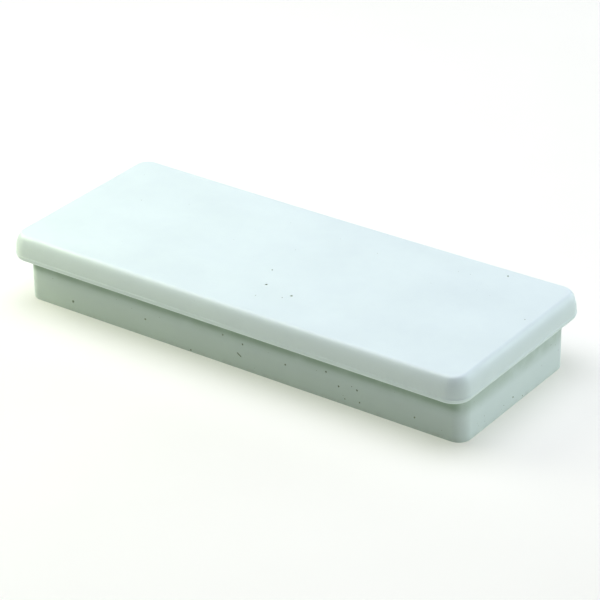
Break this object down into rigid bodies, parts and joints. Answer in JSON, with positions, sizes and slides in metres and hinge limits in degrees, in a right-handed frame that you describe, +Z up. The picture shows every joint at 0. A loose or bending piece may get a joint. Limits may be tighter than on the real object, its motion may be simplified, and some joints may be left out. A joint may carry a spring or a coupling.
{
  "type": "raised pavement marker",
  "caption": "White rectangular road marker: an overhanging cap with rounded edges on a straight-sided plinth, a ribbed moulded shell potted with sand-filled resin.",
  "frame": {"origin": "middle of the base, on the plane that the marker stands on", "axes": "+X along the marker's length, +Y across it, +Z up out of the road"},
  "size_m": [0.25, 0.1036, 0.0358],
  "materials": {
    "shell": "satin",
    "core": "matte"
  },
  "bodies": {
    "root": {"marker_shell": "shell", "core_block_1": "core", "core_block_2": "core", "core_block_3": "core", "core_block_4": "core", "core_block_5": "core", "core_block_6": "core", "core_block_7": "core", "core_block_8": "core"}
  },
  "joints": []
}
